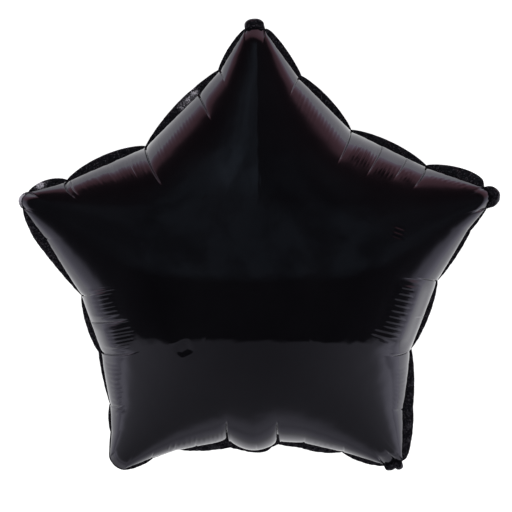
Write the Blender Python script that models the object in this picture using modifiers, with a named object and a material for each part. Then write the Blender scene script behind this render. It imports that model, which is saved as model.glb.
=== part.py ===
"""Star foil balloon, filled, lying on its back with its front up.

Two star-shaped sheets of film are welded together round their edge. Filling them
pulls the weld in, and the sheets gather there into folds that run in from the edge,
with a lobe of weld showing between one fold and the next. The filling neck at the
bottom of the star is turned back against the rear sheet.

Metres, +Z up. The star's top point is towards +Y. The origin is on the floor, at the
centre of the flat spot that the balloon rests on.
"""

import math

import bmesh
import bpy
from mathutils import Vector

# The star seen from the front: blunt points joined by sides that are hollow arcs
POINTS = 5
TIP_RADIUS = 0.211
TIP_WIDTH = 0.018
NOTCH_RADIUS = 0.148

# The filled section: domed over the middle, then each arm's ridge runs straight down
# to a short slanted facet at the blunt point
HALF_DEPTH = 0.080
REST_FLATTENING = 0.0008
DOME_RADIUS = 0.115
RIDGE_END_RADIUS = 0.205
RIDGE_END_HEIGHT = 0.0078
FACET_SLOPE = 0.86
FACET_SPLAY = 1.5
SIDE_POWER = 0.42

# The weld round the edge, thicker here than two real films so that it makes a solid
WELD_THICKNESS = 0.0010

# The corners of the edge along each side, clockwise from the top point. Most are folds.
# Each is: degrees past the point before it, how far it stands out of the side's arc,
# how far its fold runs in from the edge and how it leans (metres sideways per metre of
# run), the weld that shows at it, and the weld that shows halfway to the next corner.
CORNERS = (
    (
        (1.6, 0.0000, 0.000, 0.00, 0.0010, 0.0052),
        (12.1, 0.0010, 0.016, 0.16, 0.0024, 0.0056),
        (33.3, 0.0000, 0.029, 0.26, 0.0006, 0.0058),
        (57.8, 0.0062, 0.021, 0.28, 0.0010, 0.0088),
        (69.2, 0.0025, 0.000, 0.00, 0.0008, 0.0076),
    ),
    (
        (2.2, -0.0030, 0.000, 0.00, 0.0008, 0.0022),
        (6.3, -0.0022, 0.000, 0.00, 0.0026, 0.0034),
        (20.5, 0.0008, 0.021, 0.11, 0.0008, 0.0048),
        (44.5, 0.0004, 0.021, 0.44, 0.0010, 0.0062),
        (60.7, 0.0026, 0.011, 0.50, 0.0080, 0.0084),
        (70.5, 0.0014, 0.000, 0.00, 0.0010, 0.0066),
    ),
    (
        (0.0, -0.0016, 0.000, 0.00, 0.0012, 0.0056),
        (2.6, -0.0038, 0.000, 0.00, 0.0012, 0.0040),
        (10.6, 0.0006, 0.008, 0.00, 0.0008, 0.0056),
        (20.9, 0.0002, 0.009, 0.00, 0.0056, 0.0052),
        (28.6, 0.0010, 0.018, 0.18, 0.0042, 0.0016),
        (45.5, -0.0004, 0.018, 0.05, 0.0078, 0.0074),
        (55.0, 0.0012, 0.007, 0.00, 0.0052, 0.0032),
        (60.2, 0.0002, 0.000, 0.00, 0.0004, 0.0004),
        (65.4, 0.0006, 0.008, -0.40, 0.0006, 0.0026),
        (70.1, 0.0025, 0.000, 0.00, 0.0004, 0.0004),
    ),
    (
        (2.4, 0.0004, 0.000, 0.00, 0.0004, 0.0008),
        (6.2, 0.0012, 0.000, 0.00, 0.0008, 0.0022),
        (12.0, 0.0022, 0.014, -0.41, 0.0006, 0.0027),
        (27.1, 0.0032, 0.034, -0.28, 0.0028, 0.0052),
        (46.6, 0.0030, 0.015, -0.05, 0.0008, 0.0050),
        (63.0, 0.0068, 0.006, 0.00, 0.0078, 0.0062),
        (69.3, 0.0026, 0.000, 0.00, 0.0008, 0.0020),
    ),
    (
        (1.3, 0.0007, 0.000, 0.00, 0.0008, 0.0058),
        (7.8, -0.0012, 0.018, -0.30, 0.0008, 0.0074),
        (30.6, -0.0027, 0.036, -0.21, 0.0006, 0.0060),
        (53.7, 0.0036, 0.024, -0.17, 0.0060, 0.0042),
        (61.5, 0.0018, 0.010, -0.24, 0.0012, 0.0034),
        (69.1, 0.0025, 0.000, 0.00, 0.0010, 0.0074),
    ),
)
FOLD_DEPTH = 0.0026
FOLD_HALF_WIDTH = 0.0030
LONGEST_FOLD = 0.036
OUTWARD_PULL_FADE = 8
INWARD_PULL_FADE = 3

# How far the end of the film stands out over its tab, at each point of the star
POINT_BULGES = (0.0022, 0.0062, 0.0014, 0.0022, 0.0044)

# The filling neck: the lobe that it grows from, between the two folds nearest to the
# bottom of the star, and the flat tail that is turned back against the rear sheet
NECK_ANGLE = math.radians(180)
NECK_BULGE = 0.0090
NECK_WIDTH = 0.040
NECK_TURNED_IN = 0.045
NECK_GAP = 0.0010
NECK_THICKNESS = 0.0012

# Mesh density
SEGMENT_LENGTH = 0.0080
FEWEST_SEGMENTS = 4
MOST_SEGMENTS = 8
BODY_RINGS = 12
WELD_RINGS = 2
NECK_COLUMNS = 8
NECK_ROWS = 14

FILM_COLOUR = (0.006, 0.006, 0.008, 1.0)
FILM_ROUGHNESS = 0.16

SECTOR = 2 * math.pi / POINTS
TIP_HALF_ANGLE = math.asin(TIP_WIDTH / 2 / TIP_RADIUS)
SEAM_HEIGHT = HALF_DEPTH - REST_FLATTENING

# Each side is an arc through two corners of neighbouring points and the notch between
CORNER_OFF_NOTCH = SECTOR / 2 - TIP_HALF_ANGLE
ARC_CENTRE_RADIUS = (TIP_RADIUS**2 - NOTCH_RADIUS**2) / (
    2 * (TIP_RADIUS * math.cos(CORNER_OFF_NOTCH) - NOTCH_RADIUS)
)
ARC_RADIUS = ARC_CENTRE_RADIUS - NOTCH_RADIUS


def polar(angle, radius):
    """The point at an angle clockwise from the star's top."""
    return Vector((math.sin(angle), math.cos(angle), 0)) * radius


ARC_CENTRES = [polar(SECTOR * (k + 0.5), ARC_CENTRE_RADIUS) for k in range(POINTS)]


def off_axis(angle):
    """The signed angle from the axis of the nearest point of the star."""
    return (angle + SECTOR / 2) % SECTOR - SECTOR / 2


def outline(angle):
    """The star's smooth outline at an angle: a blunt point or a hollow arc."""
    off = abs(off_axis(angle))
    if off <= TIP_HALF_ANGLE:
        return TIP_RADIUS * math.cos(TIP_HALF_ANGLE) / math.cos(off)
    off_notch = SECTOR / 2 - off
    across = ARC_CENTRE_RADIUS * math.sin(off_notch)
    return ARC_CENTRE_RADIUS * math.cos(off_notch) - math.sqrt(ARC_RADIUS**2 - across**2)


def across_tip(angle, along_side):
    """A vector that follows the sides, and turns from one to the other over a point."""
    off = off_axis(angle)
    if abs(off) >= TIP_HALF_ANGLE:
        return along_side(angle)
    before = along_side(angle - off - TIP_HALF_ANGLE * 1.001)
    after = along_side(angle - off + TIP_HALF_ANGLE * 1.001)
    return before.lerp(after, (off / TIP_HALF_ANGLE + 1) / 2)


def off_arc(angle):
    """The direction square to a side, into the star."""
    nearest = ARC_CENTRES[int(angle // SECTOR) % POINTS]
    return (polar(angle, outline(angle)) - nearest).normalized()


def half_way_to_axis(angle):
    """The point square to a side, half the way to the axis of its arm."""
    edge = polar(angle, outline(angle))
    axis = polar(angle - off_axis(angle), 1.0)
    square = Vector((axis.y, -axis.x, 0))
    distance = abs(edge.dot(square)) / abs(off_arc(angle).dot(square))
    return edge + off_arc(angle) * min(distance, edge.length) / 2


def inward(angle):
    """The direction square to the outline, into the star."""
    return across_tip(angle, off_arc).normalized()


def lead(angle):
    """The point that a fold or a meridian heads for as it leaves the outline."""
    return across_tip(angle, half_way_to_axis)


def narrowness(flat):
    """How closely the sides stand round a point of the star."""
    rooms = [(flat - centre).length - ARC_RADIUS for centre in ARC_CENTRES]
    return sum(1 / max(room, 1e-9) for room in rooms)


def height(point):
    """Half the filled thickness over a point of the star.

    It is the height of an arm's ridge as far out as the point is, less what the nearer
    sides take off it. Near a side it rises steeply from the edge.
    """
    flat = Vector((point.x, point.y, 0))
    radius = flat.length
    fall = (HALF_DEPTH - RIDGE_END_HEIGHT) / (RIDGE_END_RADIUS - DOME_RADIUS / 2)
    if radius < DOME_RADIUS:
        ridge = HALF_DEPTH - fall * radius**2 / (2 * DOME_RADIUS)
    else:
        ridge = HALF_DEPTH - fall * (radius - DOME_RADIUS / 2)
    return ridge * (narrowness(polar(0, radius)) / narrowness(flat)) ** SIDE_POWER


def end_limit(flat, starts):
    """The most that the film stands off the weld's plane near the end of an arm.

    The sheets meet the tab at a shallow angle there, in a slanted facet.
    """
    point = round(math.atan2(flat.x, flat.y) / SECTOR) % POINTS
    axis = polar(SECTOR * point, 1.0)
    square = Vector((axis.y, -axis.x, 0))
    tab = [start.edge for start in starts if start.on_tab and start.point == point]
    tab.sort(key=lambda edge: edge.dot(square))
    aside = flat.dot(square)
    if aside <= tab[0].dot(square):
        end = tab[0].dot(axis) + FACET_SPLAY * (tab[0].dot(square) - aside)
    elif aside >= tab[-1].dot(square):
        end = tab[-1].dot(axis) + FACET_SPLAY * (aside - tab[-1].dot(square))
    else:
        after = next(i for i, edge in enumerate(tab) if edge.dot(square) > aside)
        a, b = tab[after - 1], tab[after]
        share = (aside - a.dot(square)) / (b - a).dot(square)
        end = a.lerp(b, share).dot(axis)
    return FACET_SLOPE * max(end - flat.dot(axis), 0)


class Corner:
    """A corner of the edge, with the fold that may start there and the weld that shows."""

    def __init__(self, angle, outset, reach, lean, weld_here, weld_after):
        self.angle = angle
        self.at = polar(angle, outline(angle) + outset)
        self.reach = reach
        self.lean = lean
        self.depth = FOLD_DEPTH * math.sqrt(reach / LONGEST_FOLD)
        self.weld_here = weld_here
        self.weld_after = weld_after


def corners_round_the_star():
    """Every corner, clockwise from the right-hand corner of the top point."""
    corners = []
    for side, rows in enumerate(CORNERS):
        for degrees, *rest in rows:
            corners.append(Corner(side * SECTOR + math.radians(degrees), *rest))
    return corners


def starts_round_the_star(corners):
    """The meridians between each corner and the next, closer together near a corner."""
    starts = []
    for lobe, corner in enumerate(corners):
        length = (corners[(lobe + 1) % len(corners)].at - corner.at).length
        segments = 2 * round(length / SEGMENT_LENGTH / 2)
        segments = min(max(segments, FEWEST_SEGMENTS), MOST_SEGMENTS)
        for step in range(segments):
            share = (1 - math.cos(math.pi * step / segments)) / 2
            starts.append(EdgePoint(corners, lobe, share))
    return starts


class EdgePoint:
    """One meridian of the balloon: where it starts on the edge and how it runs in."""

    def __init__(self, corners, lobe, share):
        a, b = corners[lobe], corners[(lobe + 1) % len(corners)]
        end_angle = b.angle if b.angle > a.angle else b.angle + 2 * math.pi
        self.angle = (a.angle + (end_angle - a.angle) * share) % (2 * math.pi)
        self.smooth_edge = polar(self.angle, outline(self.angle))
        self.inward = inward(self.angle)
        self.lead = lead(self.angle)

        along = (b.at - a.at).normalized()
        self.outward = Vector((-along.y, along.x, 0))
        if share == 0:
            self.outward = -self.inward
        self.point = round(self.angle / SECTOR) % POINTS
        widest_off = 1.2 * TIP_HALF_ANGLE
        self.on_tab = max(abs(off_axis(a.angle)), abs(off_axis(b.angle))) < widest_off
        bulge = POINT_BULGES[self.point] if self.on_tab else 0.0
        if a.angle < NECK_ANGLE < end_angle:
            bulge = NECK_BULGE
        arch = 4 * share * (1 - share)
        self.edge = a.at.lerp(b.at, share) + self.outward * bulge * arch

        ends = a.weld_here + (b.weld_here - a.weld_here) * share
        middle = a.weld_after - (a.weld_here + b.weld_here) / 2
        self.weld = max(ends + middle * math.sin(math.pi * share) ** 0.8, 0.0004)

        length = (b.at - a.at).length
        self.near_folds = [(a, length * share), (b, length * (share - 1))]

    def run_in(self, share):
        """A point on the way from the smooth edge to the star's centre."""
        rest = 1 - share
        return self.smooth_edge * rest**2 + self.lead * (2 * share * rest)

    def out_of_line(self, share):
        """How far the real edge still pulls the film out of the smooth star."""
        pull = self.edge - self.smooth_edge
        is_inward = pull.dot(self.inward) > 0
        return pull * (1 - share) ** (INWARD_PULL_FADE if is_inward else OUTWARD_PULL_FADE)

    def fold_depth(self, run):
        """How deep the nearest folds press the film, a run in from the edge."""
        depth = 0.0
        for fold, past_fold in self.near_folds:
            if fold.reach > 0:
                left = max(1 - run / fold.reach, 0.0)
                sideways = abs(past_fold - fold.lean * run)
                spread = math.exp(-sideways / FOLD_HALF_WIDTH)
                depth = max(depth, fold.depth * math.sqrt(left) * spread)
        return depth


def material():
    film = bpy.data.materials.new("black_film")
    film.use_nodes = True
    shader = film.node_tree.nodes["Principled BSDF"]
    shader.inputs["Base Color"].default_value = FILM_COLOUR
    shader.inputs["Roughness"].default_value = FILM_ROUGHNESS
    shader.inputs["Metallic"].default_value = 0.0
    return film


def place_ring(vertex, start, ring, side, starts):
    """Moves a vertex of the sphere to its place on the weld or on a filled sheet."""
    half_weld = WELD_THICKNESS / 2
    if ring == 0:
        flat = start.edge + start.outward * (start.weld + half_weld)
        rise = 0.0
    elif ring == 1:
        flat = start.edge + start.outward * start.weld
        rise = half_weld
    elif ring == WELD_RINGS:
        flat = start.edge + start.inward * start.fold_depth(0.0)
        rise = half_weld
    else:
        share = 1 - math.cos(math.pi / 2 * (ring - WELD_RINGS) / BODY_RINGS)
        smooth = start.run_in(share)
        flat = smooth + start.out_of_line(share)
        full = height(flat if start.on_tab else smooth)
        rise = half_weld + min(full, end_limit(flat, starts))
    vertex.co = Vector((flat.x, flat.y, SEAM_HEIGHT + side * rise))


def make_bag(corners):
    """The two filled sheets and their weld: a sphere, its equator drawn out to the weld."""
    starts = starts_round_the_star(corners)
    segments = len(starts)
    half_rings = BODY_RINGS + WELD_RINGS
    bm = bmesh.new()
    bmesh.ops.create_uvsphere(
        bm, u_segments=segments, v_segments=2 * half_rings, radius=1.0
    )
    filled = []
    for vertex in bm.verts:
        across = math.hypot(vertex.co.x, vertex.co.y)
        latitude = math.atan2(vertex.co.z, across)
        ring = round(abs(latitude) / (math.pi / 2) * half_rings)
        side = 1 if latitude >= 0 else -1
        turn = math.atan2(vertex.co.x, vertex.co.y) / (2 * math.pi)
        start = starts[round(turn * segments) % segments]
        place_ring(vertex, start, ring, side, starts)
        if WELD_RINGS < ring < half_rings:
            filled.append((vertex, start))

    bm.normal_update()
    for vertex, start in filled:
        run = (vertex.co.xy - start.edge.xy).length
        vertex.co -= vertex.normal * start.fold_depth(run)
    for vertex in bm.verts:
        vertex.co.z = max(vertex.co.z, 0.0)
    return bm


def make_neck_tail(corners):
    """The middle of the flat tail: a grid laid on the rear sheet, then stood off it."""
    bm = bmesh.new()
    bmesh.ops.create_grid(
        bm, x_segments=NECK_COLUMNS, y_segments=NECK_ROWS, size=0.5
    )
    last_turn = math.acos(1 - NECK_TURNED_IN / NOTCH_RADIUS)
    for vertex in bm.verts:
        across = vertex.co.x * NECK_WIDTH
        turn = last_turn * (0.5 - vertex.co.y)
        vertex.co = rear_sheet(corners, across, 1 - math.cos(turn))
    bm.normal_update()
    for vertex in bm.verts:
        outward = vertex.normal if vertex.normal.y < 0 else -vertex.normal
        vertex.co += outward * (NECK_GAP + NECK_THICKNESS / 2)
    return bm


def rear_sheet(corners, across, share):
    """The rear sheet at the neck, this far across it and this share of the way in."""
    lobe = max(i for i, corner in enumerate(corners) if corner.angle < NECK_ANGLE)
    right, left = corners[lobe].at, corners[lobe + 1].at
    lobe_share = (right.x - across) / (right.x - left.x)
    start = EdgePoint(corners, lobe, min(max(lobe_share, 0.0), 1.0))
    edge_y = math.sqrt(ARC_RADIUS**2 - across**2) - ARC_CENTRE_RADIUS
    smooth = Vector((across, edge_y * (1 - share), 0))
    flat = smooth + start.out_of_line(share)
    return Vector((across, flat.y, SEAM_HEIGHT - height(smooth)))


def add_object(name, bm, collection):
    mesh = bpy.data.meshes.new(name)
    bm.to_mesh(mesh)
    bm.free()
    made = bpy.data.objects.new(name, mesh)
    collection.objects.link(made)
    return made


def main():
    for old in list(bpy.data.objects):
        bpy.data.objects.remove(old)
    balloon = bpy.data.collections.new("star_foil_balloon")
    bpy.context.scene.collection.children.link(balloon)
    joined = bpy.data.collections.new("joined_to_the_bag")
    bpy.context.scene.collection.children.link(joined)

    corners = corners_round_the_star()
    bag = add_object("foil_bag", make_bag(corners), balloon)
    tail = add_object("neck_tail", make_neck_tail(corners), joined)
    tail.hide_render = True
    tail.display_type = "WIRE"
    film = material()
    for made in (bag, tail):
        made.data.materials.append(film)
        made.data.shade_smooth()

    thicken = tail.modifiers.new("thickness", "SOLIDIFY")
    thicken.thickness = NECK_THICKNESS
    thicken.offset = 0.0
    join = bag.modifiers.new("neck", "BOOLEAN")
    join.operation = "UNION"
    join.solver = "EXACT"
    join.object = tail


main()
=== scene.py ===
import math

import bpy
import numpy as np
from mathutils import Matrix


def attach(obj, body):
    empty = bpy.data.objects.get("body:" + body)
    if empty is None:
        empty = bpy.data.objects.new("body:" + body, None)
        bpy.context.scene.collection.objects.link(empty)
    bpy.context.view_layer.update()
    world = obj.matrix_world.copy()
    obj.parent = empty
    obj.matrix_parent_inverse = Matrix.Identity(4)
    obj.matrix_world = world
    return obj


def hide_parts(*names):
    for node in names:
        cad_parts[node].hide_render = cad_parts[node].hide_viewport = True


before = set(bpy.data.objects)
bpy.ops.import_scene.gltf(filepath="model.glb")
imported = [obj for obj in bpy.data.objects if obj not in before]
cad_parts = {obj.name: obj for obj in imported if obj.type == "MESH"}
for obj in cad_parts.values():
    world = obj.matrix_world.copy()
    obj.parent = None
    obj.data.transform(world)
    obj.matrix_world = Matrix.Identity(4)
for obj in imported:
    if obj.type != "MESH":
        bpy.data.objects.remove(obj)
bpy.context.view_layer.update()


# The front sheet. A star of thin black film, welded to an equal sheet behind it. The
# gas domes it, and the weld round its edge is pulled in and gathers into folds that
# run a short way up the film, with fine ribs between them where the film is slack.
POINTS = 5
TIP_RADIUS = 0.211
TIP_WIDTH = 0.018
NOTCH_RADIUS = 0.148
HALF_DEPTH = 0.080
# the weld's plane lies lower by what is flattened where the balloon rests
FLATTENED = 0.0008
SEAM_HEIGHT = HALF_DEPTH - FLATTENED
# the dome turns into a straight ridge at this radius, which ends low at each point
DOME_RADIUS = 0.115
RIDGE_END_RADIUS = 0.205
RIDGE_END_HEIGHT = 0.0078
SIDE_POWER = 0.42
# the facet by each tab: how steep it is, how it fans out, and how round its crease is
FACET_SLOPE = 0.86
FACET_SPLAY = 1.5
FACET_EASE = 0.0012
# how soon the film loses the edge's unevenness, where it is pulled out and pulled in
EDGE_FADE = 8
INWARD_EDGE_FADE = 3
# corners of the edge that lie closer than this to a point's axis end its tab
TAB_DEGREES = 3.0

# The corners of the edge along each side, clockwise from the top point. Each is:
# degrees past the point before it, how far it stands out of the side's hollow arc, the
# length and depth of the fold that runs in from it, how far the fold leans from square
# per metre of its length, the weld that shows there, and the weld that shows halfway
# to the next corner.
CORNERS = (
    (
        (1.6, 0.0000, 0.000, 0.0000, 0.00, 0.0010, 0.0052),
        (12.1, 0.0010, 0.016, 0.0012, 0.16, 0.0024, 0.0056),
        (33.3, 0.0000, 0.029, 0.0016, 0.26, 0.0006, 0.0058),
        (57.8, 0.0062, 0.021, 0.0018, 0.28, 0.0010, 0.0088),
        (69.2, 0.0025, 0.000, 0.0000, 0.00, 0.0008, 0.0076),
    ),
    (
        (2.2, -0.0030, 0.000, 0.0000, 0.00, 0.0008, 0.0022),
        (6.3, -0.0022, 0.000, 0.0000, 0.00, 0.0026, 0.0034),
        (20.5, 0.0008, 0.021, 0.0018, 0.11, 0.0008, 0.0048),
        (44.5, 0.0004, 0.021, 0.0022, 0.44, 0.0010, 0.0062),
        (60.7, 0.0026, 0.011, 0.0008, 0.50, 0.0080, 0.0084),
        (70.5, 0.0014, 0.000, 0.0000, 0.00, 0.0010, 0.0066),
    ),
    (
        (0.0, -0.0016, 0.000, 0.0000, 0.00, 0.0012, 0.0056),
        (2.6, -0.0038, 0.000, 0.0000, 0.00, 0.0012, 0.0040),
        (10.6, 0.0006, 0.008, 0.0006, 0.00, 0.0008, 0.0056),
        (20.9, 0.0002, 0.009, 0.0006, 0.00, 0.0056, 0.0052),
        (28.6, 0.0010, 0.024, 0.0046, 0.18, 0.0042, 0.0016),
        (45.5, -0.0004, 0.024, 0.0046, 0.05, 0.0078, 0.0074),
        (55.0, 0.0012, 0.007, 0.0006, 0.00, 0.0052, 0.0032),
        (60.2, 0.0002, 0.000, 0.0000, 0.00, 0.0004, 0.0004),
        (65.4, 0.0006, 0.008, 0.0006, -0.40, 0.0006, 0.0026),
        (70.1, 0.0025, 0.000, 0.0000, 0.00, 0.0004, 0.0004),
    ),
    (
        (2.4, 0.0004, 0.000, 0.0000, 0.00, 0.0004, 0.0008),
        (6.2, 0.0012, 0.000, 0.0000, 0.00, 0.0008, 0.0022),
        (12.0, 0.0022, 0.014, 0.0008, -0.41, 0.0006, 0.0027),
        (27.1, 0.0032, 0.034, 0.0016, -0.28, 0.0028, 0.0052),
        (46.6, 0.0030, 0.015, 0.0016, -0.05, 0.0008, 0.0050),
        (63.0, 0.0068, 0.006, 0.0006, 0.00, 0.0078, 0.0062),
        (69.3, 0.0026, 0.000, 0.0000, 0.00, 0.0008, 0.0020),
    ),
    (
        (1.3, 0.0007, 0.000, 0.0000, 0.00, 0.0008, 0.0058),
        (7.8, -0.0012, 0.018, 0.0020, -0.95, 0.0008, 0.0074),
        (30.6, -0.0027, 0.036, 0.0018, -0.21, 0.0006, 0.0060),
        (53.7, 0.0036, 0.024, 0.0022, -0.17, 0.0060, 0.0042),
        (61.5, 0.0018, 0.010, 0.0016, -0.24, 0.0012, 0.0034),
        (69.1, 0.0025, 0.000, 0.0000, 0.00, 0.0010, 0.0074),
    ),
)

SECTOR = 2 * math.pi / POINTS
SECTOR_DEGREES = 360 / POINTS
TIP_HALF_ANGLE = math.asin(TIP_WIDTH / 2 / TIP_RADIUS)
CORNER_OFF_NOTCH = SECTOR / 2 - TIP_HALF_ANGLE
ARC_CENTRE_RADIUS = (TIP_RADIUS**2 - NOTCH_RADIUS**2) / (
    2 * (TIP_RADIUS * math.cos(CORNER_OFF_NOTCH) - NOTCH_RADIUS)
)
ARC_RADIUS = ARC_CENTRE_RADIUS - NOTCH_RADIUS
JUST_PAST_TIP = TIP_HALF_ANGLE * 1.001


def polar(angle, radius):
    """A place in plan, by the angle clockwise from the top point."""
    return np.stack([np.sin(angle) * radius, np.cos(angle) * radius], axis=-1)


def off_axis(angle):
    """The angle from the axis of the nearest point."""
    return (angle + SECTOR / 2) % SECTOR - SECTOR / 2


def star_radius(angle):
    """The smooth star: blunt points joined by hollow arcs."""
    off = np.abs(off_axis(angle))
    blunt = TIP_RADIUS * math.cos(TIP_HALF_ANGLE) / np.cos(off)
    off_notch = SECTOR / 2 - off
    across = ARC_CENTRE_RADIUS * np.sin(off_notch)
    arc = ARC_CENTRE_RADIUS * np.cos(off_notch) - np.sqrt(ARC_RADIUS**2 - across**2)
    return np.where(off <= TIP_HALF_ANGLE, blunt, arc)


def unit(vectors):
    return vectors / np.linalg.norm(vectors, axis=-1, keepdims=True)


def square_to_side(angle):
    """The direction into the star, square to the side at an angle."""
    side = np.floor(angle / SECTOR) % POINTS
    centre = polar(SECTOR * (side + 0.5), ARC_CENTRE_RADIUS)
    return unit(polar(angle, star_radius(angle)) - centre)


def half_way_to_axis(angle):
    """The middle of the way from the edge, square to the side, to the point's axis."""
    edge = polar(angle, star_radius(angle))
    axis = polar(angle - off_axis(angle), 1.0)
    square = np.stack([axis[..., 1], -axis[..., 0]], axis=-1)
    into = square_to_side(angle)
    away = np.abs(np.sum(edge * square, axis=-1))
    closing = np.abs(np.sum(into * square, axis=-1))
    reach = np.minimum(away / closing, np.linalg.norm(edge, axis=-1)) / 2
    return edge + into * reach[..., None]


def over_points(angle, along_side):
    """Follows the sides, and turns from one side to the next across a blunt point."""
    off = off_axis(angle)
    share = np.clip((off / TIP_HALF_ANGLE + 1) / 2, 0, 1)[..., None]
    before = along_side(angle - off - JUST_PAST_TIP)
    after = along_side(angle - off + JUST_PAST_TIP)
    over = before * (1 - share) + after * share
    on_point = (np.abs(off) < TIP_HALF_ANGLE)[..., None]
    return np.where(on_point, over, along_side(angle))


def narrowness(flat):
    """How closely the sides stand round a point of the star."""
    total = np.zeros(flat.shape[:-1])
    for side in range(POINTS):
        centre = polar(SECTOR * (side + 0.5), ARC_CENTRE_RADIUS)
        room = np.linalg.norm(flat - centre, axis=-1) - ARC_RADIUS
        total += 1 / np.maximum(room, 1e-9)
    return total


def dome(flat):
    """How far the film stands off the weld's plane over a point of the star."""
    radius = np.linalg.norm(flat, axis=-1)
    fall = (HALF_DEPTH - RIDGE_END_HEIGHT) / (RIDGE_END_RADIUS - DOME_RADIUS / 2)
    rounded = radius**2 / (2 * DOME_RADIUS)
    straight = radius - DOME_RADIUS / 2
    ridge = HALF_DEPTH - fall * np.where(radius < DOME_RADIUS, rounded, straight)
    share = (narrowness(polar(0 * radius, radius)) / narrowness(flat)) ** SIDE_POWER
    return ridge * share


corner_angle, corner_at, corner_row = [], [], []
for side, rows in enumerate(CORNERS):
    for row in rows:
        angle = side * SECTOR + math.radians(row[0])
        corner_angle.append(angle)
        corner_at.append(polar(angle, star_radius(angle) + row[1]))
        corner_row.append(row[2:])
corner_at = np.array(corner_at)
lobes = len(corner_at)

# Creases between the folds: the point that the side starts from, the degrees past it,
# where they start and end in from the edge, their depth and their lean
LOOSE_CREASES = (
    (0, 43.6, 0.001, 0.029, 0.0012, 0.20),
    (0, 51.6, 0.001, 0.022, 0.0012, 0.20),
    (1, 33.0, 0.001, 0.012, 0.0006, 0.10),
    (3, 37.6, 0.001, 0.037, 0.0012, -0.18),
    (4, 9.4, 0.001, 0.017, 0.0010, -0.88),
    (4, 20.0, 0.001, 0.013, 0.0003, -0.20),
    (2, 36.0, 0.001, 0.009, 0.0005, 0.10),
)

# The ribs: the point that the side starts from, the degrees past it where a group
# starts and ends, the ribs in it, where they start and end in from the edge, how high
# they stand, their lean, and how full the film is under them, as a share of their
# height. One flank of each is steep, on the side that the height's sign says.
RIBS = (
    (0, 14.0, 31.0, 13, 0.006, 0.024, 0.00040, 0.20, 0.0),
    (0, 35.0, 42.6, 7, 0.009, 0.026, 0.00160, 0.20, 0.6),
    (0, 44.6, 50.6, 5, 0.014, 0.027, 0.00140, 0.18, 0.35),
    (0, 52.4, 57.2, 5, 0.011, 0.022, 0.00120, 0.22, 0.2),
    (0, 59.0, 67.0, 8, 0.004, 0.010, 0.00040, 0.20, 0.0),
    (1, 21.2, 43.8, 12, 0.018, 0.043, 0.00120, 0.05, 1.6),
    (1, 24.0, 43.0, 19, 0.001, 0.008, 0.00018, 0.0, 0.0),
    (1, 49.0, 60.0, 9, 0.004, 0.015, 0.00045, 0.3, 0.6),
    (2, 13.0, 20.0, 5, 0.002, 0.008, 0.00040, 0.0, 0.0),
    (2, 47.0, 62.0, 11, 0.002, 0.014, -0.00070, 0.0, 0.3),
    (3, 10.0, 25.0, 11, 0.004, 0.018, -0.00070, -0.34, 0.6),
    (3, 27.8, 37.2, 8, 0.014, 0.040, -0.00110, -0.14, 1.6),
    (3, 38.0, 48.5, 8, 0.010, 0.036, -0.00110, -0.10, 1.6),
    (4, 10.5, 19.5, 10, 0.004, 0.022, -0.00100, -0.22, 0.35),
    (4, 20.5, 29.0, 9, 0.004, 0.022, -0.00100, -0.21, 0.35),
    (4, 34.0, 50.0, 13, 0.006, 0.022, -0.00040, -0.18, 0.0),
)

# Where each meridian of the film leaves the edge. They crowd towards the creases.
MERIDIAN_SPACING = 0.00098
CROWDING = 2.0
CROWDING_REACH = 0.0016
FINE_STEPS = 400
crease_angles = [side * SECTOR + math.radians(past) for side, past, *rest in LOOSE_CREASES]
meridian = []
for lobe in range(lobes):
    after = (lobe + 1) % lobes
    length = float(np.linalg.norm(corner_at[after] - corner_at[lobe]))
    span = (corner_angle[after] - corner_angle[lobe]) % (2 * math.pi)
    fine = np.linspace(0, 1, FINE_STEPS + 1)
    crowding = np.ones(FINE_STEPS + 1)
    creases = [(angle - corner_angle[lobe]) % (2 * math.pi) for angle in crease_angles]
    for crease in [0.0, span] + creases:
        if crease <= span:
            away = (fine - crease / span) * length
            crowding += CROWDING * np.exp(-((away / CROWDING_REACH) ** 2))
    between = (crowding[1:] + crowding[:-1]) / (2 * FINE_STEPS)
    passed = np.concatenate([[0], np.cumsum(between)])
    steps = max(4 * round(length * passed[-1] / MERIDIAN_SPACING / 4), 8)
    for step in range(steps):
        share = float(np.interp(step / steps * passed[-1], passed, fine))
        meridian.append((lobe, share, corner_angle[lobe] + span * share, length))
around = len(meridian)
lobe_of = np.array([m[0] for m in meridian])
share_of = np.array([m[1] for m in meridian])
angle_of = np.array([m[2] for m in meridian]) % (2 * math.pi)
length_of = np.array([m[3] for m in meridian])
degrees_of = np.degrees(angle_of)

chord_a = corner_at[lobe_of]
chord_b = corner_at[(lobe_of + 1) % lobes]
along = unit(chord_b - chord_a)
outward = np.stack([-along[:, 1], along[:, 0]], axis=-1)
smooth_edge = polar(angle_of, star_radius(angle_of))

# The meridians lean as the folds and ribs along them do, and not at all at the points
LEAN_INSET = math.radians(0.6)
LEAN_GAIN = 2.4
leans = [(SECTOR * point, 0.0) for point in range(POINTS)]
for angle, row in zip(corner_angle, corner_row):
    if row[1] > 0:
        leans.append((angle, row[2]))
for side, past, *rest, lean in LOOSE_CREASES:
    leans.append((side * SECTOR + math.radians(past), lean))
for side, start, stop, *rest, lean, fullness in RIBS:
    leans.append((side * SECTOR + math.radians(start) + LEAN_INSET, lean))
    leans.append((side * SECTOR + math.radians(stop) - LEAN_INSET, lean))
lean_angles, lean_values = zip(*sorted(leans))
lean_of = np.interp(angle_of, lean_angles, lean_values, period=2 * math.pi)
lead = over_points(angle_of, half_way_to_axis)
into_star = over_points(angle_of, square_to_side)
clockwise = np.stack([-into_star[:, 1], into_star[:, 0]], axis=-1)
reach = np.linalg.norm(lead - smooth_edge, axis=-1)
sideways = clockwise * (lean_of * reach)[:, None]

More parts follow.
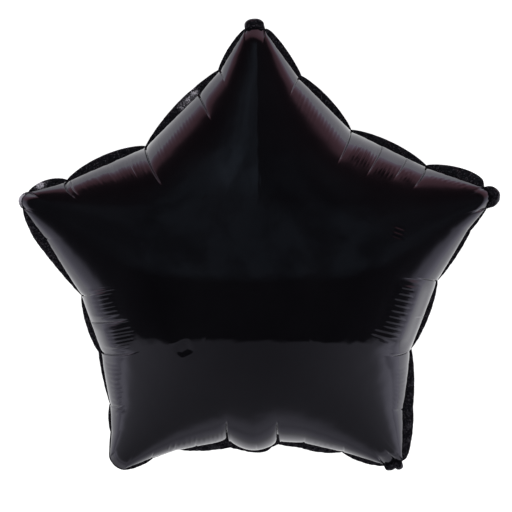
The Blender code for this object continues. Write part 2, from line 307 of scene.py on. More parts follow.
# Between two corners the edge is all but straight, but for the lobe over the neck and
# the blunt points, where the end of the film stands out over its tab
BULGE_SHARE = 0.008
NECK_BULGE = 0.0090
POINT_BULGE = (0.0022, 0.0062, 0.0014, 0.0022, 0.0044)
neck_lobe = max(i for i in range(lobes) if corner_angle[i] < math.pi)
arch = 4 * share_of * (1 - share_of)
off_point = np.degrees(np.abs(off_axis(np.array(corner_angle))))
near_axis = off_point < TAB_DEGREES
on_tab = (near_axis & np.roll(near_axis, -1))[lobe_of]
point_of = np.round(angle_of / SECTOR).astype(int) % POINTS
bulge = np.where(on_tab, np.array(POINT_BULGE)[point_of], length_of * BULGE_SHARE)
bulge = np.where(lobe_of == neck_lobe, NECK_BULGE, bulge) * arch
edge = chord_a * (1 - share_of[:, None]) + chord_b * share_of[:, None]
edge = edge + outward * bulge[:, None]


def laid_out(shares):
    """Every meridian of the film at each share of its way to the centre.

    The first plan is the one to take heights from. It starts on the smooth star, and
    soon meets the second, which starts on the real edge.
    """
    s = np.asarray(shares)[:, None, None]
    smooth = smooth_edge * (1 - s) ** 2 + lead * (2 * s * (1 - s))
    smooth = smooth + sideways * (LEAN_GAIN * s * (1 - s) ** 2)
    pulled = edge - smooth_edge
    inward = np.sum(pulled * into_star, axis=-1, keepdims=True) > 0
    power = np.where(inward, INWARD_EDGE_FADE, EDGE_FADE)
    flat = smooth + pulled * (1 - s) ** power
    return flat - pulled * (1 - s) ** EDGE_FADE, flat


def end_limit(flat):
    """The most that the film stands off the weld's plane near the end of an arm.

    The sheets meet the tab at a shallow angle there, in a slanted facet.
    """
    limit = np.full(flat.shape[:-1], HALF_DEPTH)
    for point in range(POINTS):
        axis = polar(SECTOR * point, 1.0)
        square = np.array([axis[1], -axis[0]])
        tab = edge[(point_of == point) & on_tab]
        tab = tab[np.argsort(tab @ square)]
        across, ends = tab @ square, tab @ axis
        aside = flat @ square
        beyond = np.maximum(np.maximum(aside - across[-1], across[0] - aside), 0)
        from_end = np.interp(aside, across, ends) + FACET_SPLAY * beyond - flat @ axis
        limit = np.minimum(limit, FACET_SLOPE * np.maximum(from_end, 0))
    return limit


def from_fold(points, start):
    """Each point's distance along its ring from a meridian, shorter way round."""
    gaps = np.linalg.norm(np.roll(points, -1, axis=1) - points, axis=-1)
    total = gaps.sum(axis=1, keepdims=True)
    travelled = np.concatenate(
        [np.zeros((len(points), 1)), np.cumsum(gaps, axis=1)[:, :-1]], axis=1
    )
    away = travelled - travelled[:, start : start + 1]
    return (away + total / 2) % total - total / 2


# Across, a fold is a slit with a lip on one side, in a wider dip, and one side of it lies
# deeper than the other. Each has its share of the fold's depth and how far it reaches.
SLIT_SHARE, SLIT_REACH = 0.95, 0.00042
LIP_SHARE, LIP_REACH, LIP_PLACE = 0.22, 0.0006, 0.0011
DIP_SHARE, DIP_REACH = 0.40, 0.0024
STEP_SHARE, STEP_WIDTH, STEP_REACH = 0.22, 0.0006, 0.0045
FOLD_REACH = 0.02
FOLD_OVERRUN = 0.002


def crease_press(points, run):
    """How deep the folds press the film at every point of the grid."""
    folds = []
    for lobe in range(lobes):
        length, depth = corner_row[lobe][:2]
        if depth > 0:
            start = int(np.argmax(lobe_of == lobe))
            folds.append((start, -FOLD_OVERRUN, length, depth))
    for side, past, begin, end, depth, lean in LOOSE_CREASES:
        start = int(np.argmin(np.abs(degrees_of - side * SECTOR_DEGREES - past)))
        folds.append((start, begin, end, depth))
    press = np.zeros(run.shape)
    for start, begin, end, depth in folds:
        away = from_fold(points, start)
        gap = np.abs(away)
        left = np.clip((end - run) / (end - begin), 0, 1) ** 0.5
        left = left * np.clip((run - begin) / FOLD_OVERRUN, 0, 1)
        slit = SLIT_SHARE * depth * np.exp(-((gap / SLIT_REACH) ** 2))
        lip = LIP_SHARE * depth * np.exp(-(((away + LIP_PLACE) / LIP_REACH) ** 2))
        dip = DIP_SHARE * depth * np.exp(-((gap / DIP_REACH) ** 1.2)) * left
        step = STEP_SHARE * depth * np.tanh(away / STEP_WIDTH) * np.exp(-gap / STEP_REACH)
        press += np.where(gap < FOLD_REACH, (slit - lip + dip + step) * left, 0)
    return press


# How the ribs of a group vary: how far one strays and how wide its steep flank is, as
# shares of its width, the least height, as a share of the full one, and how much later
# it starts and sooner it ends, as shares of the length.
RIB_STRAY = 0.16
RIB_STEEP = 0.26
RIB_LEAST = 0.6
RIB_LATE, RIB_SOON = 0.25, 0.35
# The fullness under a group starts this far nearer the edge than its ribs and takes a
# little more to reach its height, and fades over this many ribs at either end.
FULL_LEAD, FULL_EXTRA = 0.012, 0.001
FULL_FADE = 1.6
RIB_SEED = 3


def rib_lift(run, seed):
    """The fine ribs that run square to the edge where the film is slack."""
    chance = np.random.default_rng(seed)
    lift = np.zeros(run.shape)
    for side, start, end, count, first, last, height, lean, fullness in RIBS:
        place = (degrees_of - side * SECTOR_DEGREES - start) / (end - start) * count
        stray = chance.uniform(-RIB_STRAY, RIB_STRAY, count + 2)
        place = place + np.interp(place, np.arange(count + 2) - 0.5, stray)
        inside = (place > 0) & (place < count)
        number = np.clip(np.floor(place).astype(int), 0, count - 1)
        part = place - number
        size = chance.uniform(RIB_LEAST, 1.0, count)[number]
        length = last - first
        begin = first + length * chance.uniform(0.0, RIB_LATE, count)[number]
        finish = last - length * chance.uniform(0.0, RIB_SOON, count)[number]
        gentle = part / (1 - RIB_STEEP)
        pleat = np.where(part < 1 - RIB_STEEP, gentle, (1 - part) / RIB_STEEP) - 0.5
        along_rib = np.clip((run - begin) / (finish - begin), 0, 1)
        swell = np.sin(np.pi * along_rib**0.7) ** 0.8
        lift += np.where(inside, height * size * pleat * swell, 0)
        # the film is fuller under a group, so that it is flatter where the ribs run in
        out = np.clip((run - first + FULL_LEAD) / (FULL_LEAD + FULL_EXTRA), 0, 1)
        back = np.clip((last - run) / (last - first - FULL_EXTRA), 0, 1)
        full = np.sin(np.pi / 2 * np.minimum(out, back)) ** 2
        window = np.clip(np.minimum(place, count - place) / FULL_FADE, 0, 1)
        lift += fullness * abs(height) * full * window
    return lift


def make_mesh(name, points, faces):
    mesh = bpy.data.meshes.new(name)
    mesh.from_pydata(points.tolist(), [], faces)
    mesh.validate()
    mesh.shade_smooth()
    made = bpy.data.objects.new(name, mesh)
    bpy.context.scene.collection.objects.link(made)
    return made


def between_rings(first, second, side):
    """Quads between two equal rings of vertex numbers, facing up or down."""
    quads = np.stack([first, np.roll(first, -1), np.roll(second, -1), second], axis=-1)
    return (quads if side < 0 else quads[:, ::-1]).tolist()


# how far each sheet stands off the weld's plane at its edge, how the rings of the fine
# band crowd towards the edge, and the share of a quarter turn that the band takes
FILM_OFFSET = 0.00012
RING_CROWDING = 1.25
BAND_TURN = 0.86


def make_sheet(name, side, rings, centre_rings, thin):
    """A domed sheet: a fine band by the edge, then a coarser middle."""
    turn = np.linspace(0, 1, rings) ** RING_CROWDING
    smooth, flat = laid_out(1 - np.cos(math.pi / 2 * turn * BAND_TURN))
    rise = np.where(on_tab, dome(flat), dome(smooth))
    # the lower of the dome and the end facets, with a rounded crease between them
    limit = end_limit(flat)
    share = np.clip(0.5 + (limit - rise) / (2 * FACET_EASE), 0, 1)
    rise = limit * (1 - share) + rise * share - FACET_EASE * share * (1 - share)
    rise = np.maximum(rise, 0.0)
    rise[0] = 0.0
    z = SEAM_HEIGHT + side * (FILM_OFFSET + rise)
    points = np.concatenate([flat, z[..., None]], axis=-1)
    steps = np.linalg.norm(np.diff(flat, axis=0), axis=-1)
    run = np.concatenate([np.zeros((1, around)), np.cumsum(steps, axis=0)])

    round_ring = np.roll(points, -1, axis=1) - np.roll(points, 1, axis=1)
    normals = unit(np.cross(np.gradient(points, axis=0), round_ring) * side)
    press = crease_press(points, run) - rib_lift(run, RIB_SEED + side)
    press[0] = 0.0
    points = (points - normals * press[..., None])[:, ::thin]
    count = points.shape[1]
    numbers = np.arange(rings * count).reshape(rings, count)
    faces = []
    for ring in range(rings - 1):
        faces += between_rings(numbers[ring], numbers[ring + 1], side)

    # from the fine band to every fourth meridian, then in to the centre
    last = numbers[-1]
    ring_numbers = [last[::4]]
    verts = [points.reshape(-1, 3)]
    base = rings * count
    for step in range(1, centre_rings):
        flat = points[-1, ::4, :2] * (1 - step / centre_rings)
        z = SEAM_HEIGHT + side * (FILM_OFFSET + dome(flat))
        verts.append(np.concatenate([flat, z[:, None]], axis=-1))
        ring_numbers.append(base + np.arange(len(flat)))
        base += len(flat)
    first = ring_numbers[1]
    for i in range(len(first)):
        a, b, c, d, e = [int(last[(4 * i + k) % count]) for k in range(5)]
        near, far = int(first[i]), int(first[(i + 1) % len(first)])
        fan = [(a, b, near), (b, c, near), (c, far, near), (c, d, far), (d, e, far)]
        faces += fan if side < 0 else [f[::-1] for f in fan]
    for ring in range(1, centre_rings - 1):
        faces += between_rings(ring_numbers[ring], ring_numbers[ring + 1], side)
    crown = SEAM_HEIGHT + side * (FILM_OFFSET + dome(np.zeros(2)))
    verts.append(np.array([[0, 0, crown]]))
    rim = ring_numbers[-1]
    for i in range(len(rim)):
        fan = (int(rim[i]), int(rim[(i + 1) % len(rim)]), base)
        faces.append(fan if side < 0 else fan[::-1])
    return make_mesh(name, np.concatenate(verts), faces)


front = make_sheet("front_sheet", side=1, rings=46, centre_rings=24, thin=1)


def put(socket, value):
    """Sets an input, or links an output to it."""
    if isinstance(value, bpy.types.NodeSocket):
        links.new(value, socket)
    else:
        socket.default_value = value


def calculated(operation, *values):
    node = nodes.new("ShaderNodeMath")
    node.operation = operation
    for socket, value in zip(node.inputs, values):
        put(socket, value)
    return node.outputs[0]


def remapped(value, start, end, low, high):
    """A value that turns evenly from low to high as another one crosses a span."""
    node = nodes.new("ShaderNodeMapRange")
    for socket, setting in zip(node.inputs, (value, start, end, low, high)):
        put(socket, setting)
    return node.outputs["Result"]


def eased(value, start, end, low=0.0, high=1.0):
    """A value that turns smoothly from low to high as another one crosses a span."""
    turned = remapped(value, start, end, low, high)
    turned.node.interpolation_type = "SMOOTHSTEP"
    return turned


def noise(vector, scale, detail):
    node = nodes.new("ShaderNodeTexNoise")
    put(node.inputs["Vector"], vector)
    put(node.inputs["Scale"], scale)
    put(node.inputs["Detail"], detail)
    return node.outputs["Fac"]


def ramp(value, stops):
    """A colour that runs through the stops, each a position and a colour."""
    node = nodes.new("ShaderNodeValToRGB")
    elements = node.color_ramp.elements
    for number, (position, colour) in enumerate(stops):
        stop = elements[number] if number < 2 else elements.new(position)
        stop.position = position
        stop.color = (*colour, 1)
    put(node.inputs["Fac"], value)
    return node.outputs["Color"]


def bumped(height, distance):
    node = nodes.new("ShaderNodeBump")
    put(node.inputs["Strength"], 1.0)
    put(node.inputs["Distance"], distance)
    put(node.inputs["Height"], height)
    return node.outputs["Normal"]


# The film is smooth plastic, almost a mirror, with slow waves in it, a haze that comes
# and goes, and a few small dents. Heights of the bumps are in units of BUMP_UNIT.
FILM_TINT = (0.83, 0.81, 1.0, 1)
CLOUD_SCALE, WAVE_SCALE, GRAIN_SCALE = 14.0, 26.0, 420.0
CLOUD_LOW, CLOUD_HIGH = 0.35, 0.70
FILM_DARKEST, FILM_PALEST = (0.0026, 0.0024, 0.0032), (0.0038, 0.0036, 0.0046)
CLEAREST, HAZIEST = 0.030, 0.060
BUMP_UNIT = 0.00004
WAVE_HEIGHT, GRAIN_HEIGHT = 12.0, 0.10
film = bpy.data.materials.new("black_film")
film.use_nodes = True
nodes, links = film.node_tree.nodes, film.node_tree.links
shader = nodes["Principled BSDF"]
shader.inputs["IOR"].default_value = 1.68
shader.inputs["Specular Tint"].default_value = FILM_TINT
place = nodes.new("ShaderNodeTexCoord")
clouds = noise(place.outputs["Object"], CLOUD_SCALE, 3.0)
film_tones = ((CLOUD_LOW, FILM_DARKEST), (CLOUD_HIGH, FILM_PALEST))
put(shader.inputs["Base Color"], ramp(clouds, film_tones))
put(shader.inputs["Roughness"], remapped(clouds, CLOUD_LOW, CLOUD_HIGH, CLEAREST, HAZIEST))
waves = calculated("MULTIPLY", noise(place.outputs["Object"], WAVE_SCALE, 2.0), WAVE_HEIGHT)
grain = noise(place.outputs["Object"], GRAIN_SCALE, 2.0)
height = calculated("MULTIPLY_ADD", grain, GRAIN_HEIGHT, waves)
# short dents side by side: the place, the direction, half the length, the pitch, how
# many there are and how deep they are
for at, degrees, half_length, pitch, count, depth in (
    ((0.1186, 0.0385, 0.0), -20, 0.0085, 0.0040, 3, 4.5),
    ((-0.0440, 0.0690, 0.0), 38, 0.0050, 0.0040, 1, 4.5),
    ((-0.0612, -0.0575, 0.0), 30, 0.0095, 0.0230, 1, 9.0),
):
    dents = nodes.new("ShaderNodeMapping")
    dents.vector_type = "TEXTURE"
    put(dents.inputs["Vector"], place.outputs["Object"])
    dents.inputs["Location"].default_value = at
    dents.inputs["Rotation"].default_value = (0, 0, math.radians(degrees))
    dents.inputs["Scale"].default_value = (half_length, pitch, 1)
    split = nodes.new("ShaderNodeSeparateXYZ")
    put(split.inputs[0], dents.outputs[0])
    by_length = eased(calculated("ABSOLUTE", split.outputs["X"]), 1.0, 0.3)
    by_width = eased(calculated("ABSOLUTE", split.outputs["Y"]), count / 2, count / 2 - 0.3)
    ripple = calculated("COSINE", calculated("MULTIPLY", split.outputs["Y"], 2 * math.pi))
    dent = calculated("MULTIPLY", calculated("MULTIPLY", by_length, by_width), ripple)
    height = calculated("ADD", height, calculated("MULTIPLY", dent, -depth))
put(shader.inputs["Normal"], bumped(height, BUMP_UNIT))

front.data.materials.append(film)
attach(front, "root")
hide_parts("foil_bag")


# The rear sheet. The same film as the front, seen only from behind. It is flat where
# the balloon lies on it.
rear = make_sheet("rear_sheet", side=-1, rings=30, centre_rings=20, thin=2)
for vertex in rear.data.vertices:
    vertex.co.z = max(vertex.co.z, 0.0)
rear.data.materials.append(film)
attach(rear, "root")
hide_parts("foil_bag")


# The weld. The two sheets are melted together in a band round the edge, which is
# stiff and crinkled, and stands out between the folds in a row of lobes. At each
# blunt point it ends in a tab that spreads like a mushroom.
WELD_THICKNESS = 0.00024
WELD_RINGS = 12
# the share of its width at which it starts, inside the film's edge, and what is added to
# the width that shows
WELD_INSIDE = -0.06
WELD_EXTRA = 0.0004
# the power that each kind of end of a lobe rises with: the lower, the blunter
TAB_END, BLUNT_END, SLIM_END = 0.35, 0.40, 0.80
TAB_SPREAD = 0.8
TAB_PUFF, FULL_TAB = 0.0022, 0.005
WELD_SAG, SAG_REACH = 0.0016, 0.008
# the waves that run along it, each a wavelength and a height, how they wander, and how
# far out they reach their full height
WELD_WAVES = ((0.0130, 0.00050), (0.0061, 0.00036), (0.0027, 0.00014))
WAVE_SHEAR = 0.9
WAVE_DRIFT, DRIFT_LENGTH = 0.6, 0.037
WAVE_REACH = 0.003
WELD_SEED = 7

weld_a = np.array([row[3] for row in corner_row])[lobe_of]
weld_b = np.array([row[3] for row in corner_row])[(lobe_of + 1) % lobes]
weld_mid = np.array([row[4] for row in corner_row])[lobe_of]
# a few lobes of the weld end bluntly next to a point of the star
after_point = near_axis & ~np.roll(near_axis, -1)
before_point = ~near_axis & np.roll(near_axis, -1)
starts_blunt = after_point[lobe_of] & (angle_of < SECTOR)
ends_blunt = before_point[lobe_of] & (angle_of < 2 * SECTOR)
rise_power = np.where(on_tab, TAB_END, np.where(starts_blunt, BLUNT_END, SLIM_END))
fall_power = np.where(on_tab, TAB_END, np.where(ends_blunt, BLUNT_END, SLIM_END))
fullest = rise_power / (rise_power + fall_power)
petal = (share_of / fullest) ** rise_power * ((1 - share_of) / (1 - fullest)) ** fall_power
weld_ends = weld_a * (1 - share_of) + weld_b * share_of
weld_width = weld_ends + (weld_mid - (weld_a + weld_b) / 2) * petal
spread = np.where(on_tab, TAB_SPREAD, 0.0) * (share_of - 0.5)
spread = spread * np.sin(math.pi * share_of) ** 0.3
weld_way = outward + along * spread[:, None]

weld_share = np.linspace(WELD_INSIDE, 1, WELD_RINGS)
weld_out = weld_share[:, None] * (weld_width[None] + WELD_EXTRA)
weld_flat = edge[None] + weld_way[None] * weld_out[..., None]
chance = np.random.default_rng(WELD_SEED)
travel = np.concatenate([[0], np.cumsum(np.linalg.norm(np.diff(edge, axis=0), axis=-1))])
weld_z = np.zeros((WELD_RINGS, around))
for wavelength, height in WELD_WAVES:
    phase = chance.uniform(0, 2 * math.pi)
    shear = chance.uniform(-WAVE_SHEAR, WAVE_SHEAR)
    drift = WAVE_DRIFT * np.sin(travel / DRIFT_LENGTH + phase)
    swing = travel[None, :] + shear * weld_out
    weld_z += height * np.sin(2 * math.pi * swing / wavelength + phase + drift[None])
weld_z *= np.clip(weld_out / WAVE_REACH, 0, 1)
sag = np.where(on_tab, 0.0, WELD_SAG) * np.sin(math.pi * share_of)
weld_z -= sag[None] * np.clip(weld_out / SAG_REACH, 0, 1) ** 2
thick = np.full((WELD_RINGS, around), WELD_THICKNESS / 2)
pillow = np.sin(math.pi * np.clip(weld_share, 0, 1))[:, None] ** 0.6
puffed = np.where(on_tab, TAB_PUFF * np.clip(weld_mid / FULL_TAB, 0, 1), 0.0)
thick += puffed[None] * pillow * np.sin(math.pi * share_of) ** 0.5
verts = []
for face_side in (1, -1):
    z = SEAM_HEIGHT + weld_z + thick * face_side
    verts.append(np.concatenate([weld_flat, z[..., None]], axis=-1).reshape(-1, 3))
numbers = np.arange(WELD_RINGS * around).reshape(WELD_RINGS, around)
under = numbers + WELD_RINGS * around
weld_faces = []
for ring in range(WELD_RINGS - 1):
    weld_faces += between_rings(numbers[ring], numbers[ring + 1], -1)
    weld_faces += between_rings(under[ring], under[ring + 1], 1)
weld_faces += between_rings(numbers[-1], under[-1], -1)
weld_faces += between_rings(under[0], numbers[0], -1)
weld = make_mesh("edge_weld", np.concatenate(verts), weld_faces)

CRINKLE_SCALE = 760.0
CRINKLE_HEIGHT = 0.0004
sealed = bpy.data.materials.new("welded_film")
sealed.use_nodes = True
nodes, links = sealed.node_tree.nodes, sealed.node_tree.links
shader = nodes["Principled BSDF"]
shader.inputs["IOR"].default_value = 1.58
shader.inputs["Specular Tint"].default_value = FILM_TINT
place = nodes.new("ShaderNodeTexCoord")
crinkle = noise(place.outputs["Object"], CRINKLE_SCALE, 3.0)
# painted glints: patches where pale grey is painted into the weld's colour for the glitter
# of its crumples, each with its place, how far that reaches, and how strongly
crinkle_and_glints = crinkle
for at, radius, share in (
    ((-0.1902, 0.0769, SEAM_HEIGHT), 0.009, 0.42),
    ((-0.0542, 0.1566, SEAM_HEIGHT), 0.007, 0.40),
    ((-0.0600, 0.1507, SEAM_HEIGHT), 0.007, 0.36),
    ((-0.0659, 0.1448, SEAM_HEIGHT), 0.007, 0.32),
    ((-0.2069, 0.0654, SEAM_HEIGHT), 0.012, 0.55),
):
    away = nodes.new("ShaderNodeVectorMath")
    away.operation = "DISTANCE"
    put(away.inputs[0], place.outputs["Object"])
    away.inputs[1].default_value = at
    nearness = eased(away.outputs["Value"], radius, 0.0, 0, share)
    crinkle_and_glints = calculated("ADD", crinkle_and_glints, nearness)
# the weld's colour: its own near-black where the crinkle is low, with painted glints in
# pale grey where the crinkle and the patches above run high
weld_tones_and_glints = (
    (0.52, (0.0028, 0.0024, 0.0034)),
    (0.75, (0.0340, 0.0310, 0.0370)),
    (0.95, (0.42, 0.40, 0.45)),
)
put(shader.inputs["Base Color"], ramp(crinkle_and_glints, weld_tones_and_glints))
put(shader.inputs["Roughness"], remapped(crinkle, 0.0, 1.0, 0.16, 0.34))
put(shader.inputs["Normal"], bumped(crinkle, CRINKLE_HEIGHT))
weld.data.materials.append(sealed)
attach(weld, "root")
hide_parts("foil_bag")


# The filling neck. A tail of the same two sheets, welded along both its sides, that is
# turned back under the lobe at the bottom of the star and lies against the rear sheet.
NECK_WIDTH = 0.040
NECK_TURNED_IN = 0.045
NECK_GAP = 0.0010
NECK_SEAM = 0.006
NECK_PUFF = 0.0011
NECK_WRINKLE, WRINKLE_PITCH = 0.0004, 0.0034
NECK_THICKNESS = 0.0004
NECK_DROOP = 0.0006
NECK_COLUMNS = 41
NECK_ROWS = 70
neck_across = np.linspace(-0.5, 0.5, NECK_COLUMNS) * NECK_WIDTH
lobe_x = edge[lobe_of == neck_lobe][:, 0][::-1]
lobe_y = edge[lobe_of == neck_lobe][:, 1][::-1]
neck_edge = np.interp(neck_across, lobe_x, lobe_y)
arc_edge = np.sqrt(ARC_RADIUS**2 - neck_across**2) - ARC_CENTRE_RADIUS
last_turn = math.acos(1 - NECK_TURNED_IN / NOTCH_RADIUS)
neck_turn = np.linspace(0.0, 1.0, NECK_ROWS) ** 1.2 * last_turn
neck_share = (1 - np.cos(neck_turn))[:, None]
smooth_y = arc_edge[None] * (1 - neck_share)
flat_x = np.broadcast_to(neck_across[None], smooth_y.shape)
pulled = (neck_edge - arc_edge)[None] * (1 - neck_share) ** EDGE_FADE
rise = dome(np.stack([flat_x, smooth_y], axis=-1))
rise[0] = 0.0
middle = np.stack([flat_x, smooth_y + pulled, SEAM_HEIGHT - rise], axis=-1)
normals = unit(np.cross(np.gradient(middle, axis=1), np.gradient(middle, axis=0)))
normals = normals * np.where(normals[..., 1:2] > 0, -1, 1)
in_from_side = 0.5 - np.abs(neck_across / NECK_WIDTH)
puff = NECK_PUFF * np.clip(in_from_side * NECK_WIDTH / NECK_SEAM - 1, 0, 1) ** 0.6
down = np.linspace(0, 1, NECK_ROWS)[:, None]
wrinkle = NECK_WRINKLE * np.sin(neck_across / WRINKLE_PITCH)[None]
wrinkle = wrinkle * np.sin(9 * down + 1.2)
stand_off = NECK_GAP + NECK_DROOP * down + wrinkle
verts = []
for face_side in (1, -1):
    shell = stand_off + (puff[None] + NECK_THICKNESS / 2) * (1 + face_side)
    verts.append((middle + normals * shell[..., None]).reshape(-1, 3))
numbers = np.arange(NECK_ROWS * NECK_COLUMNS).reshape(NECK_ROWS, NECK_COLUMNS)
under = numbers + NECK_ROWS * NECK_COLUMNS
neck_faces = []
for grid, flip in ((numbers, False), (under, True)):
    quads = np.stack(
        [grid[:-1, :-1], grid[:-1, 1:], grid[1:, 1:], grid[1:, :-1]], axis=-1
    ).reshape(-1, 4)
    neck_faces += (quads[:, ::-1] if flip else quads).tolist()
rim = np.concatenate(
    [numbers[0, :-1], numbers[:-1, -1], numbers[-1, :0:-1], numbers[:0:-1, 0]]
)
rim_under = rim + NECK_ROWS * NECK_COLUMNS
neck_faces += between_rings(rim, rim_under, 1)
neck = make_mesh("neck_tail", np.concatenate(verts), neck_faces)
neck.data.materials.append(sealed)
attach(neck, "root")
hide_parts("foil_bag")


# The studio: a sheet of white paper with soft light from overhead. The film mirrors the
# paper, a pale surround that fades out a little above the horizon and is reddish past
# the head of the star, a dim grey panel past its foot, and a faint patchy ceiling.
PAPER_HALF_SIZE = 0.7
PAPER_HEIGHT = -0.0002
PAPER_TONE = (0.66, 0.66, 0.66, 1)
PAPER_GLOW = (0.74, 0.74, 0.74, 1)
paper_corners = [
    (x * PAPER_HALF_SIZE, y * PAPER_HALF_SIZE, PAPER_HEIGHT)
    for x, y in ((-1, -1), (1, -1), (1, 1), (-1, 1))
]
floor = make_mesh("studio_floor", np.array(paper_corners), [(0, 1, 2, 3)])
paper = bpy.data.materials.new("white_paper")
paper.use_nodes = True
nodes, links = paper.node_tree.nodes, paper.node_tree.links


def blended(factor, first, second, kind="MIX"):
    node = nodes.new("ShaderNodeMix")
    node.data_type = "RGBA"
    node.blend_type = kind
    put(node.inputs["Factor"], factor)
    put(node.inputs["A"], first)
    put(node.inputs["B"], second)
    return node.outputs["Result"]


paper_shader = nodes["Principled BSDF"]
paper_shader.inputs["Base Color"].default_value = PAPER_TONE
paper_shader.inputs["Roughness"].default_value = 1.0
paper_shader.inputs["Specular IOR Level"].default_value = 0.0
path = nodes.new("ShaderNodeLightPath")
glow = nodes.new("ShaderNodeEmission")
put(glow.inputs["Color"], PAPER_GLOW)
put(glow.inputs["Strength"], path.outputs["Is Camera Ray"])
lit = nodes.new("ShaderNodeAddShader")
put(lit.inputs[0], paper_shader.outputs[0])
put(lit.inputs[1], glow.outputs[0])
spot = nodes.new("ShaderNodeTexCoord")
split = nodes.new("ShaderNodeSeparateXYZ")
put(split.inputs[0], spot.outputs["Object"])
towards_right = eased(split.outputs["X"], -0.5, 0.5, 1.20, 1.35)
towards_foot = eased(split.outputs["Y"], -0.20, -0.60, 1.0, 0.45)
mirrored = nodes.new("ShaderNodeEmission")
put(mirrored.inputs["Strength"], calculated("MULTIPLY", towards_right, towards_foot))
either = nodes.new("ShaderNodeMixShader")
put(either.inputs[0], path.outputs["Is Glossy Ray"])
put(either.inputs[1], lit.outputs[0])
put(either.inputs[2], mirrored.outputs[0])
put(nodes["Material Output"].inputs["Surface"], either.outputs[0])
floor.data.materials.append(paper)

LAMP_STRENGTH = 2.7
LAMP_SPREAD = math.radians(100)
lamp_data = bpy.data.lights.new("overhead_softbox", "SUN")
lamp_data.energy = LAMP_STRENGTH
lamp_data.angle = LAMP_SPREAD
lamp = bpy.data.objects.new("overhead_softbox", lamp_data)
lamp.rotation_euler = (math.radians(3), math.radians(-2), 0)
lamp.visible_glossy = False
bpy.context.scene.collection.objects.link(lamp)

world = bpy.data.worlds.new("studio_surround")
bpy.context.scene.world = world
world.use_nodes = True
nodes, links = world.node_tree.nodes, world.node_tree.links
spot = nodes.new("ShaderNodeTexCoord")
split = nodes.new("ShaderNodeSeparateXYZ")
put(split.inputs[0], spot.outputs["Generated"])
east, north, up = split.outputs

# how pale the surround is at each height, which is the sine of the angle above the
# horizon plus a third or so, more on the left, where it fades out sooner
falls_sooner = eased(east, -0.3, 0.3, 0.37, 0.30)
paleness = (
    (0.10, 1.00),
    (0.22, 0.88),
    (0.28, 0.78),
    (0.35, 0.63),
    (0.42, 0.53),
    (0.50, 0.42),
    (0.54, 0.28),
    (0.59, 0.10),
    (0.64, 0.04),
    (0.72, 0.02),
    (1.00, 0.00),
)
greys = [(position, (value, value, value)) for position, value in paleness]
fade = ramp(calculated("ADD", up, falls_sooner), greys)

# it is nearly white at the sides, dimmer past the foot, and reddish past the head
SIDE_TINT = (1.00, 0.985, 1.06, 1)
HEAD_LOW_TINT, HEAD_HIGH_TINT = (1.00, 0.95, 1.10, 1), (0.90, 0.46, 0.50, 1)
LEFT_LEVEL, RIGHT_LEVEL, FOOT_LEVEL = 1.20, 1.25, 0.55
head_share = eased(north, 0.0, 0.45)
foot_share = eased(north, -0.45, -0.85)
side_level = eased(east, -0.3, 0.3, LEFT_LEVEL, RIGHT_LEVEL)
level = eased(foot_share, 0.0, 1.0, side_level, FOOT_LEVEL)
head_tint = blended(eased(up, -0.25, 0.12), HEAD_LOW_TINT, HEAD_HIGH_TINT)
tint = blended(head_share, SIDE_TINT, head_tint)
pale = blended(1.0, fade, tint, "MULTIPLY")
levelled = nodes.new("ShaderNodeVectorMath")
levelled.operation = "SCALE"
put(levelled.inputs[0], pale)
put(levelled.inputs["Scale"], level)

# the panel past the foot has one curved edge overhead, and is paler at its two ends
PANEL_MIDDLE, PANEL_ENDS = 0.120, 0.30
EDGE_BY_EAST, EDGE_BY_UP = 0.245, 0.4225
east_squared = calculated("POWER", east, 2.0)
up_squared = calculated("POWER", up, 2.0)
edge_place = calculated("MULTIPLY", east_squared, EDGE_BY_EAST)
edge_place = calculated("MULTIPLY_ADD", up_squared, EDGE_BY_UP, edge_place)
beyond = calculated("ADD", north, calculated("SQRT", edge_place))
on_panel = calculated("MULTIPLY", eased(beyond, 0.015, -0.015), eased(up, 0.0, 0.1))
panel_grey = calculated("MULTIPLY_ADD", east_squared, PANEL_ENDS, PANEL_MIDDLE)
panel = calculated("MULTIPLY", on_panel, panel_grey)

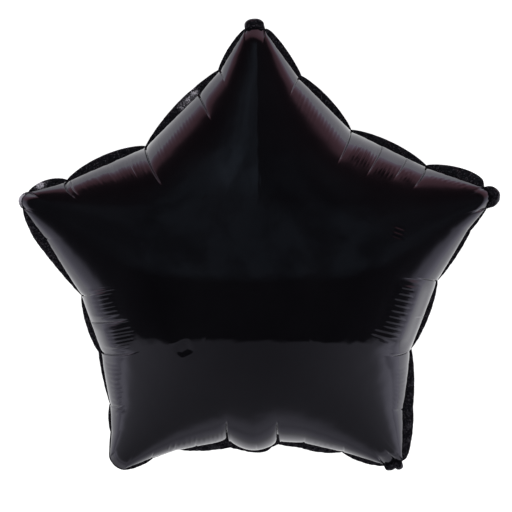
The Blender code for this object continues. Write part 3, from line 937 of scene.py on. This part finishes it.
# the ceiling is dim and patchy, and a brighter patch ends sharply over the middle
CEILING_LEVEL, BRIGHT_LEVEL = 0.060, 0.10
CEILING_TINT = (0.75, 1.0, 1.08)
patchy = eased(noise(spot.outputs["Generated"], 3.5, 3.0), 0.35, 0.65, 0.4, 1.2)
left_side = eased(east, 0.004, -0.004)
open_end = eased(north, 0.55, 0.42)
stretch = calculated("MAXIMUM", open_end, eased(east, 0.004, -0.004, 0.40, 1.0))
ceiling = calculated("MULTIPLY", eased(north, -0.12, -0.02), stretch)
ceiling = calculated("MULTIPLY", ceiling, eased(up, 0.35, 0.60, 0.0, CEILING_LEVEL))
bright = calculated("MULTIPLY", left_side, eased(north, 0.50, 0.68))
bright = calculated("MULTIPLY", bright, eased(east, -0.45, -0.20, 0.0, BRIGHT_LEVEL))
bright = calculated("MULTIPLY", bright, eased(up, 0.45, 0.62))
dim = calculated("MULTIPLY", calculated("ADD", ceiling, bright), patchy)

ceiling_colour = nodes.new("ShaderNodeCombineColor")
for channel, share in zip(ceiling_colour.inputs, CEILING_TINT):
    put(channel, calculated("MULTIPLY", dim, share))
panel_colour = nodes.new("ShaderNodeCombineColor")
for channel in panel_colour.inputs:
    put(channel, panel)
above = blended(1.0, panel_colour.outputs[0], ceiling_colour.outputs[0], "ADD")
around_it = blended(1.0, levelled.outputs[0], above, "ADD")
path = nodes.new("ShaderNodeLightPath")
seen = blended(path.outputs["Is Camera Ray"], around_it, (1, 1, 1, 1))
put(nodes["Background"].inputs["Color"], seen)

# the camera looks down on the star, square to it but for a few degrees
LENS = 85
DISTANCE = 1.063
TILT = math.radians(5)
AIM = (-0.001, 0.0144, SEAM_HEIGHT)
camera_data = bpy.data.cameras.new("camera")
camera_data.lens = LENS
camera = bpy.data.objects.new("camera", camera_data)
bpy.context.scene.collection.objects.link(camera)
bpy.context.scene.camera = camera
camera.location = (
    AIM[0],
    AIM[1] + DISTANCE * math.sin(TILT),
    AIM[2] + DISTANCE * math.cos(TILT),
)
camera.rotation_euler = (-TILT, 0, 0)
bpy.context.scene.view_settings.view_transform = "Standard"
